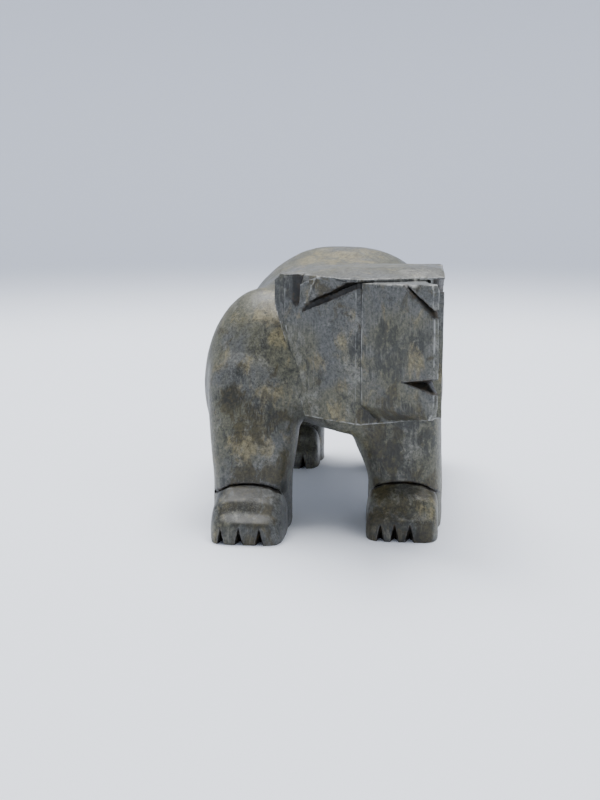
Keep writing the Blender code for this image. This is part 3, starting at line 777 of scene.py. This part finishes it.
def nose_cutter(way):
    """Slanting groove that sets the nose off from the muzzle, deepest at the ridge."""
    points = []
    for v, z, scale in ((NOSE_CUT_BACK, MUZZLE_TOP[0] + 1 * MM, 0.45), (-2 * MM, NOSE_CUT_Z - 1.2 * MM, 1.0)):
        half = NOSE_CUT_WIDTH * scale / 2
        u = muzzle_half_width(v)
        points.append(on_head(way * (u - NOSE_CUT_DEPTH * scale), v, z))
        for step in (-1, 1):
            points.append(on_head(way * (u + CUT_REACH), v + step * half * 2, z + step * half * 3))
    return hull("nose_cut", points)


def mouth_cutter(way):
    """Wedge cut, open at the ridge and closed at its rear end."""
    back = muzzle_half_width(MOUTH_BACK)
    reach = back + CUT_REACH
    points = [
        on_head(way * (back + 0.3 * MM), MOUTH_BACK, MOUTH_Z - MOUTH_RISE),
        on_head(way * (muzzle_half_width(MOUTH_BACK / 2) - MOUTH_DEPTH), MOUTH_BACK / 2, MOUTH_Z - 1.2 * MM),
        on_head(-way * 0.4 * MM, 2.2 * MM, MOUTH_Z - 0.8 * MM),
        on_head(-way * 0.4 * MM, -3 * MM, MOUTH_Z + 1.2 * MM),
        on_head(-way * 0.4 * MM, -3 * MM, MOUTH_Z + 1.2 * MM - MOUTH_HEIGHT),
        on_head(way * reach, 4 * MM, MOUTH_Z + 0.6 * MM),
        on_head(way * reach, 4 * MM, MOUTH_Z + 1.2 * MM - MOUTH_HEIGHT),
        on_head(way * reach, MOUTH_BACK - 1 * MM, MOUTH_Z - MOUTH_RISE),
    ]
    return hull("mouth_cut", points)


def ear_cutter(way):
    """Upright groove in front of an ear."""
    v = CHEEK_REAR[1] - 0.8 * MM
    u = cheek_half_width(v)
    half = EAR_CUT_WIDTH / 2
    top = CROWN_Z + 2 * MM
    stretch = (EAR_CUT_DEPTH + CUT_REACH) / EAR_CUT_DEPTH
    points = []
    for z, scale in ((top, 1.0), (EAR_CUT_BOTTOM + 1.5 * MM, 0.8)):
        points.append(on_skull(way * (u - EAR_CUT_DEPTH * scale), v, z))
        for step in (-1, 1):
            points.append(on_skull(way * (u + CUT_REACH), v + step * half * stretch * scale, z))
    points.append(on_skull(way * u, v, EAR_CUT_BOTTOM))
    points.append(on_skull(way * (u + CUT_REACH), v, EAR_CUT_BOTTOM))
    return hull("ear_cut", points)


def root_cutter(way):
    """Thin groove down the corner where the muzzle leaves the cheek."""
    v = CHEEK_FRONT[1]
    u = muzzle_half_width(v)
    rings = []
    for z, depth in ROOT_CUT:
        half = ROOT_CUT_WIDTH / 2 * (depth + CUT_REACH) / depth * min(1.5, depth / MM)
        rings.append([
            on_head(way * (u - depth), v, z),
            on_head(way * (u + CUT_REACH), v - half, z),
            on_head(way * (u + CUT_REACH), v + half, z),
        ])
    return loft("root_cut", rings)


def slab(name, low, high):
    """Plain box between two corners."""
    corners = [(x, y, z) for x in (low[0], high[0]) for y in (low[1], high[1]) for z in (low[2], high[2])]
    return hull(name, corners)


def make_masses():
    """Rounded parts of the bear, fused and smoothed."""
    parts = [make_body(), make_neck(), make_tail()]
    for name in LEGS:
        parts.append(make_leg(name))
    for side in (-1, 1):
        parts.append(make_muscle("shoulder", SHOULDER, SHOULDER_LEAN, side, SHOULDER_OFFSET))
        parts.append(make_muscle("haunch", HAUNCH, HAUNCH_LEAN, side))
    bear = gather("bear", parts)
    remesh(bear, SKIN_VOXEL, SKIN_SMOOTHING)
    return bear


def make_feet():
    """All four feet, still reaching under the floor."""
    feet = gather("feet", [make_foot(name) for name in LEGS])
    remesh(feet, FOOT_VOXEL, FOOT_SMOOTHING)
    return feet


def make_head():
    """Flat-sided head, cut off flat at the side of the block of stone."""
    head = make_skull()
    combine(head, make_muzzle(), "UNION")
    for way in (1, -1):
        combine(head, make_ear(way), "UNION")
    combine(head, slab("side", (BLOCK_SIDE_X, -FAR, -FAR), (FAR, FAR, FAR)), "DIFFERENCE")
    return head


def merged(tools):
    """One tool out of several that may overlap."""
    first = tools[0]
    for tool in tools[1:]:
        combine(first, tool, "UNION", "MANIFOLD")
    return first


def make_strokes():
    """File strokes whose floors get painted shade: eyes, nose, mouth, ears, toes and the creases over the
    forefeet.
    """
    strokes = []
    for way in (1, -1):
        strokes += [maker(way) for maker in (eye_cutter, nose_cutter, mouth_cutter, ear_cutter)]
    for name in LEGS:
        strokes += toe_cutters(name)
        if name.endswith("fore"):
            strokes.append(crease_cutter(name))
    return merged(strokes)


def make_facets():
    """Cuts that take the stone's own colour: facets of the right brow, and the grooves beside the muzzle."""
    return merged([bevel_cutter(1), lid_cutter(1), root_cutter(1), root_cutter(-1)])


def surface_tree(item):
    """Search tree over the object's faces."""
    builder = bmesh.new()
    builder.from_mesh(item.data)
    tree = BVHTree.FromBMesh(builder)
    builder.free()
    return tree


def cut_grid(builder):
    """Split the large flat faces along an even grid, so that they can carry relief."""
    for axis in range(3):
        normal = Vector((0, 0, 0))
        normal[axis] = 1
        large = [face for face in builder.faces if face.calc_area() > BIG_FACE]
        if not large:
            continue
        spots = [vertex.co[axis] for face in large for vertex in face.verts]
        count = math.ceil((max(spots) - min(spots)) / GRID)
        for step in range(1, count):
            place = min(spots) + step * GRID
            crossing = []
            for face in builder.faces:
                if face.calc_area() <= BIG_FACE:
                    continue
                heights = [vertex.co[axis] for vertex in face.verts]
                if min(heights) < place < max(heights):
                    crossing.append(face)
            if not crossing:
                continue
            parts = set(crossing)
            for face in crossing:
                parts.update(face.edges)
                parts.update(face.verts)
            plane = {"plane_co": normal * place, "plane_no": normal}
            bmesh.ops.bisect_plane(builder, geom=list(parts), dist=GRID_SNAP, **plane)


def relief_at(place):
    """How far the rasp left the surface proud or low at a place."""
    height = 0.0
    for size, depth in RELIEF:
        height += depth * noise.noise(place / size + RELIEF_OFFSET)
    return height


def edge_bend(vertex):
    """Sharpest fold at a vertex: positive on an outer edge, negative in a hollow."""
    bend = 0.0
    for edge in vertex.link_edges:
        if len(edge.link_faces) == 2:
            angle = edge.calc_face_angle_signed(0.0)
            if abs(angle) > abs(bend):
                bend = angle
    return bend


def patch_at(place, patches):
    """Nearness to the closest of the patches: 1 at its middle, 0 outside it."""
    nearness = 0.0
    for x, y, z, radius in patches:
        apart = (place - Vector((x, y, z)) * MM).length / (radius * PATCH_SPREAD * MM)
        nearness = max(nearness, 1 - apart * apart)
    return nearness


def dress(bear, cuts):
    """Refine the flats, wear the edges, add the relief, and note edges and cuts for the material."""
    builder = bmesh.new()
    builder.from_mesh(bear.data)
    bmesh.ops.remove_doubles(builder, verts=builder.verts, dist=WELD)
    bmesh.ops.dissolve_degenerate(builder, edges=builder.edges, dist=SLIVER)
    cut_grid(builder)
    bmesh.ops.triangulate(builder, faces=[face for face in builder.faces if len(face.verts) > 4])
    bmesh.ops.remove_doubles(builder, verts=builder.verts, dist=WELD)

    cut_layer = builder.verts.layers.float.new("cut")
    edge_layer = builder.verts.layers.float.new("edge")
    bends = {vertex: edge_bend(vertex) for vertex in builder.verts}
    for vertex in builder.verts:
        _, _, _, distance = cuts.find_nearest(vertex.co, CUT_NEAR)
        vertex[cut_layer] = 0.0 if distance is None else 1.0
        vertex[edge_layer] = max(-1.0, min(1.0, bends[vertex] / FULL_EDGE_ANGLE))

    bent = [vertex for vertex, bend in bends.items() if abs(bend) > EDGE_ANGLE]
    folded = [vertex for vertex in bent if vertex.co.z > SOLE_HEIGHT]
    all_axes = {"use_axis_x": True, "use_axis_y": True, "use_axis_z": True}
    for _ in range(WEAR_PASSES):
        bmesh.ops.smooth_vert(builder, verts=folded, factor=WEAR_FACTOR, **all_axes)

    builder.normal_update()
    shifts = []
    for vertex in builder.verts:
        lift = min(1.0, max(0.0, vertex.co.z / SOLE_HEIGHT - 1))
        shifts.append(vertex.normal * relief_at(vertex.co) * lift)
    for vertex, shift in zip(builder.verts, shifts):
        vertex.co += shift
    builder.to_mesh(bear.data)
    builder.free()


def fit_to_box(item, low, high):
    """Bring the mesh's own box onto the given one."""
    vertices = item.data.vertices
    for axis in range(3):
        spots = [vertex.co[axis] for vertex in vertices]
        start = min(spots)
        scale = (high[axis] - low[axis]) / (max(spots) - start)
        for vertex in vertices:
            vertex.co[axis] = low[axis] + (vertex.co[axis] - start) * scale


def note_patches(item):
    """Store on the mesh how near each vertex is to the patches of each kind."""
    for name, patches in PATCHES.items():
        layer = item.data.attributes.new(name, "FLOAT", "POINT")
        for vertex, record in zip(item.data.vertices, layer.data):
            record.value = patch_at(vertex.co, patches)


def make_bear():
    """The whole carving: masses, feet and head joined, cut, levelled on its soles and dressed."""
    bear = make_masses()
    for part in (make_feet(), make_head()):
        combine(bear, part, "UNION", "MANIFOLD")
        drop_crumbs(bear)
    strokes = make_strokes()
    cuts = surface_tree(strokes)
    for tool in (make_facets(), strokes):
        combine(bear, tool, "DIFFERENCE", "MANIFOLD")
    combine(bear, slab("floor_cut", (-FAR, -FAR, -FAR), (FAR, FAR, 0)), "DIFFERENCE", "MANIFOLD")
    dress(bear, cuts)
    fit_to_box(bear, LOW, HIGH)
    note_patches(bear)
    bear.data.shade_smooth()
    bear.data.set_sharp_from_angle(angle=CRISP_ANGLE)
    bear.name = "bear"
    bear.data.name = "bear"
    return bear


class Nodes:
    """Short way to write a material's nodes."""

    def __init__(self, name):
        self.material = bpy.data.materials.new(name)
        self.material.use_nodes = True
        self.tree = self.material.node_tree
        self.shader = self.tree.nodes["Principled BSDF"]

    def add(self, kind, inputs=(), **settings):
        """Make a node, set its settings, then its sockets from values or other sockets."""
        node = self.tree.nodes.new(kind)
        for key, value in settings.items():
            setattr(node, key, value)
        for key, value in dict(inputs).items():
            self.put(node.inputs[key], value)
        return node

    def put(self, socket, value):
        """Link the socket to another one, or set it to a value."""
        if isinstance(value, bpy.types.NodeSocket):
            self.tree.links.new(value, socket)
        else:
            socket.default_value = value

    def math(self, operation, first, second):
        """Result of one sum on two numbers or sockets."""
        return self.add("ShaderNodeMath", {0: first, 1: second}, operation=operation).outputs[0]

    def noise(self, place, size, detail=3.0, roughness=0.5, distortion=0.0):
        """Noise whose features are about size metres across."""
        inputs = {"Vector": place, "Scale": 1 / size, "Detail": detail}
        inputs.update({"Roughness": roughness, "Distortion": distortion})
        return self.add("ShaderNodeTexNoise", inputs).outputs["Fac"]

    def step(self, value, low, high):
        """0 below low, 1 above high, smooth between."""
        inputs = {"Value": value, "From Min": low, "From Max": high}
        return self.add("ShaderNodeMapRange", inputs, interpolation_type="SMOOTHSTEP").outputs["Result"]

    def mix(self, share, first, second, blend="MIX"):
        """Colour that goes from the first to the second as the share goes from 0 to 1."""
        node = self.add("ShaderNodeMix", {"Factor": share}, data_type="RGBA", blend_type=blend)
        # The node has these sockets for each type of data: 6 and 7 take the colours, 2 gives the mix.
        self.put(node.inputs[6], first)
        self.put(node.inputs[7], second)
        return node.outputs[2]

    def stretched(self, place, turn, scale):
        """Coordinates turned and squeezed, for marks that run one way."""
        inputs = {"Vector": place, "Rotation": turn, "Scale": scale}
        return self.add("ShaderNodeMapping", inputs).outputs["Vector"]

    def attribute(self, name):
        """Number noted on the mesh under this name."""
        return self.add("ShaderNodeAttribute", attribute_name=name).outputs["Fac"]


BLUE_GREY = (0.070, 0.072, 0.068, 1)
GREEN_GREY = (0.079, 0.077, 0.051, 1)
TAN = (0.205, 0.168, 0.078, 1)
OLIVE = (0.036, 0.028, 0.008, 1)
DARK = (0.008, 0.009, 0.007, 1)
# PALE tints the scratches and the pale patches, which are partly painted highlight.
PALE = (0.225, 0.222, 0.200, 1)
# Pale edge colour: wear, and painted highlight on the outer edges.
WEAR_AND_HIGHLIGHT = (0.330, 0.332, 0.315, 1)
# Painted shade on the floors of the file cuts: near black, mottled with brown.
CUT_SHADE = (0.006, 0.006, 0.005, 1)
CUT_SHADE_BROWN = (0.034, 0.022, 0.009, 1)

# Kinds of patch: size, detail and turn of their noise, the noise at which they begin and at which they are
# full, how far a patch noted on the mesh raises it, and how strong they are.
PATCH_KINDS = {
    "tan": (9 * MM, 8, (0.3, 0.9, 0.2), 0.53, 0.71, 0.17, 0.55),
    "pale": (8 * MM, 8, (0.1, 0.3, 1.1), 0.54, 0.76, 0.18, 0.42),
    "olive": (7 * MM, 8, (0.8, 0.1, 0.5), 0.56, 0.68, 0.20, 0.82),
    "dark": (3.4 * MM, 9, (0.2, 0.6, 0.9), 0.49, 0.66, 0.12, 0.80),
}
BLOTCH_SHAPE = (1.3, 1, 0.8)

# Scratches are noise drawn out along its z, in these turns.
SCRATCH_TURNS = [(0.05, 0.0, 0.5), (0.5, 0.35, 0.0), (-0.35, 0.6, 0.3)]
SCRATCH_SHAPE = (1, 1, 0.025)
SCRATCH_WIDTH = 0.4 * MM


def patchy(nodes, place, kind):
    """How much of a kind of patch there is at each place."""
    size, detail, turn, low, high, pull, strength = PATCH_KINDS[kind]
    field = nodes.noise(nodes.stretched(place, turn, BLOTCH_SHAPE), size, detail, 0.66, 0.7)
    field = nodes.math("ADD", field, nodes.math("MULTIPLY", nodes.attribute(kind), pull))
    return nodes.math("MULTIPLY", nodes.step(field, low, high), strength)


def stone_colour(nodes, place):
    """Two greys with tan, pale and olive patches, and dark mottling in clusters; the pale patches are partly
    painted highlight, and the dark ones partly painted shade on the muzzle.
    """
    broad = nodes.noise(place, 30 * MM, 4, 0.6, 0.5)
    colour = nodes.mix(nodes.step(broad, 0.40, 0.60), BLUE_GREY, GREEN_GREY)
    for kind, patch_colour in (("tan", TAN), ("pale", PALE), ("olive", OLIVE)):
        colour = nodes.mix(patchy(nodes, place, kind), colour, patch_colour)
    clusters = nodes.step(nodes.noise(place, 15 * MM, 3, 0.5, 0.4), 0.42, 0.60)
    # Dark patches noted on the mesh widen the mottling; on the side of the muzzle this is painted shade.
    clusters = nodes.math("MAXIMUM", clusters, nodes.attribute("dark"))
    return nodes.mix(nodes.math("MULTIPLY", patchy(nodes, place, "dark"), clusters), colour, DARK)


def grained(nodes, place, grain, colour):
    """Colour broken up by the stone's grain and by small dark pits."""
    shade = nodes.math("ADD", nodes.math("MULTIPLY", grain, 4.4), -1.2)
    shade = nodes.math("MAXIMUM", shade, 0.20)
    tone = nodes.add("ShaderNodeCombineColor", {"Red": shade, "Green": shade, "Blue": shade}).outputs["Color"]
    colour = nodes.mix(1.0, colour, tone, "MULTIPLY")
    pits = nodes.step(nodes.noise(place, 0.7 * MM, 2, 0.5), 0.58, 0.68)
    pitted = nodes.step(nodes.noise(place, 7 * MM, 4, 0.6), 0.44, 0.60)
    pits = nodes.math("MULTIPLY", nodes.math("MULTIPLY", pits, pitted), 0.7)
    return nodes.mix(pits, colour, DARK)


def scratches(nodes, place):
    """Fine marks of the rasp in several directions, in some areas more than in others."""
    marks = 0.0
    for turn in SCRATCH_TURNS:
        streak = nodes.noise(nodes.stretched(place, turn, SCRATCH_SHAPE), SCRATCH_WIDTH, 2, 0.5)
        marks = nodes.math("MAXIMUM", nodes.step(streak, 0.60, 0.70), marks)
    worked = nodes.step(nodes.noise(place, 8 * MM, 3, 0.5), 0.44, 0.66)
    return nodes.math("MULTIPLY", marks, worked)


def wear_highlight_and_shade(nodes, place, colour):
    """Pale broken wear and painted highlight on outer edges, painted shade in hollows, and painted shade on
    the floors of the file cuts.
    """
    edge = nodes.attribute("edge")
    broken = nodes.step(nodes.noise(place, 3 * MM, 5, 0.65), 0.38, 0.62)
    # Pale outer edges: partly wear, partly painted highlight.
    worn = nodes.math("MULTIPLY", nodes.step(edge, 0.25, 0.9), broken)
    colour = nodes.mix(nodes.math("MULTIPLY", worn, 0.78), colour, WEAR_AND_HIGHLIGHT)
    # Painted shade: hollows, where the surface folds inwards, are darkened towards DARK.
    hollow = nodes.step(nodes.math("MULTIPLY", edge, -1.0), 0.15, 0.6)
    colour = nodes.mix(nodes.math("MULTIPLY", hollow, 0.75), colour, DARK)
    # Painted shade: the floors of the file cuts are near black with brown mottling.
    filed = nodes.mix(nodes.step(nodes.noise(place, 2.5 * MM, 4, 0.6), 0.45, 0.68), CUT_SHADE, CUT_SHADE_BROWN)
    return nodes.mix(nodes.math("MULTIPLY", nodes.attribute("cut"), 0.9), colour, filed)


def soapstone():
    """Grey stone with tan and olive patches, dark mottling, fine scratches and worn edges; painted highlight
    on edges and ridges, painted shade in hollows, file cuts and on the side of the muzzle.
    """
    nodes = Nodes("soapstone")
    place = nodes.add("ShaderNodeTexCoord").outputs["Object"]
    grain = nodes.noise(place, 1.1 * MM, 6, 0.8)
    marks = scratches(nodes, place)
    colour = grained(nodes, place, grain, stone_colour(nodes, place))
    colour = nodes.mix(nodes.math("MULTIPLY", marks, 0.32), colour, PALE)
    nodes.put(nodes.shader.inputs["Base Color"], wear_highlight_and_shade(nodes, place, colour))

    rough = nodes.math("ADD", nodes.math("MULTIPLY", nodes.noise(place, 4 * MM, 4, 0.6), 0.24), 0.33)
    rough = nodes.math("ADD", rough, nodes.math("MULTIPLY", marks, 0.15))
    nodes.put(nodes.shader.inputs["Roughness"], rough)
    nodes.shader.inputs["Specular IOR Level"].default_value = 0.42

    height = nodes.math("ADD", nodes.math("MULTIPLY", grain, 0.6), nodes.math("MULTIPLY", marks, -0.5))
    bump = nodes.add("ShaderNodeBump", {"Height": height, "Strength": 0.5, "Distance": 0.22 * MM})
    nodes.put(nodes.shader.inputs["Normal"], bump.outputs["Normal"])
    return nodes.material


# Stage, in metres: a round table that curves up into a wall. Its paper's colour turns darker up to
# WALL_START: painted shade on the wall.
TABLE = (0.87, 0.90, 0.96, 1)
# Painted shade: the wall's colour, darker than the table's.
SHADED_WALL = (0.322, 0.348, 0.41, 1)
WALL_START = 0.06
STAGE_CENTRE = 0.15
STAGE_RADIUS = 0.38
STAGE_FILLET = 0.42
FILLET_STEPS = 16
WALL_TOP = 0.56
STAGE_SIDES = 128


def paper():
    """Matt paper, pale on the table, with painted shade that darkens it up the wall."""
    nodes = Nodes("paper")
    place = nodes.add("ShaderNodeTexCoord").outputs["Object"]
    height = nodes.add("ShaderNodeSeparateXYZ", {"Vector": place}).outputs["Z"]
    colour = nodes.mix(nodes.step(height, 0.0, WALL_START), TABLE, SHADED_WALL)
    nodes.put(nodes.shader.inputs["Base Color"], colour)
    nodes.shader.inputs["Roughness"].default_value = 0.6
    nodes.shader.inputs["Specular IOR Level"].default_value = 0.3
    return nodes.material


def make_stage():
    """Round table that curves up into a low wall, the same from every side."""
    profile = [(STAGE_CENTRE, 0.0), (STAGE_RADIUS, 0.0)]
    for step in range(1, FILLET_STEPS + 1):
        turn = math.pi / 2 * step / FILLET_STEPS
        out = STAGE_RADIUS + STAGE_FILLET * math.sin(turn)
        profile.append((out, STAGE_FILLET * (1 - math.cos(turn))))
    profile.append((STAGE_RADIUS + STAGE_FILLET, WALL_TOP))
    turns = [2 * math.pi * step / STAGE_SIDES for step in range(STAGE_SIDES)]
    rings = []
    for radius, z in profile:
        rings.append([(radius * math.cos(turn), radius * math.sin(turn), z) for turn in turns])
    floor = loft("floor", rings, open_end=True)
    floor.data.shade_smooth()
    floor.data.materials.append(paper())
    return floor


def area_light(name, at, aim, size, power_w, colour):
    """Rectangular lamp at a place, turned to its aim."""
    lamp = bpy.data.lights.new(name, "AREA")
    lamp.shape = "RECTANGLE"
    lamp.size, lamp.size_y = size
    lamp.energy = power_w
    lamp.color = colour
    holder = bpy.data.objects.new(name, lamp)
    holder.location = at
    holder.rotation_euler = (Vector(aim) - Vector(at)).to_track_quat("-Z", "Y").to_euler()
    bpy.context.collection.objects.link(holder)


def light_studio():
    """Even pale surroundings, a soft light overhead and a faint one from the front left."""
    world = bpy.data.worlds.new("studio")
    bpy.context.scene.world = world
    world.use_nodes = True
    background = world.node_tree.nodes["Background"]
    background.inputs["Color"].default_value = (0.93, 0.95, 1.0, 1)
    background.inputs["Strength"].default_value = 0.50
    area_light("overhead", (-0.05, 0.22, 1.1), (0, 0.02, 0), (0.9, 0.8), 28, (0.975, 0.985, 1.0))
    area_light("side", (0.45, -0.40, 0.55), (0, 0, 0.05), (0.35, 0.45), 0.9, (0.96, 0.98, 1.0))


def place_camera():
    """Camera of the photograph's view."""
    lens = bpy.data.cameras.new("view")
    lens.lens = CAMERA_LENS
    lens.sensor_width = CAMERA_SENSOR
    camera = bpy.data.objects.new("view", lens)
    camera.location = CAMERA_AT
    camera.rotation_euler = (math.pi / 2 - CAMERA_PITCH, 0, CAMERA_TURN)
    bpy.context.collection.objects.link(camera)
    bpy.context.scene.camera = camera


place_camera()
light_studio()
make_stage()

bear = make_bear()
bear.data.materials.clear()
bear.data.materials.append(soapstone())
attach(bear, "root")
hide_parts("bear_carving")
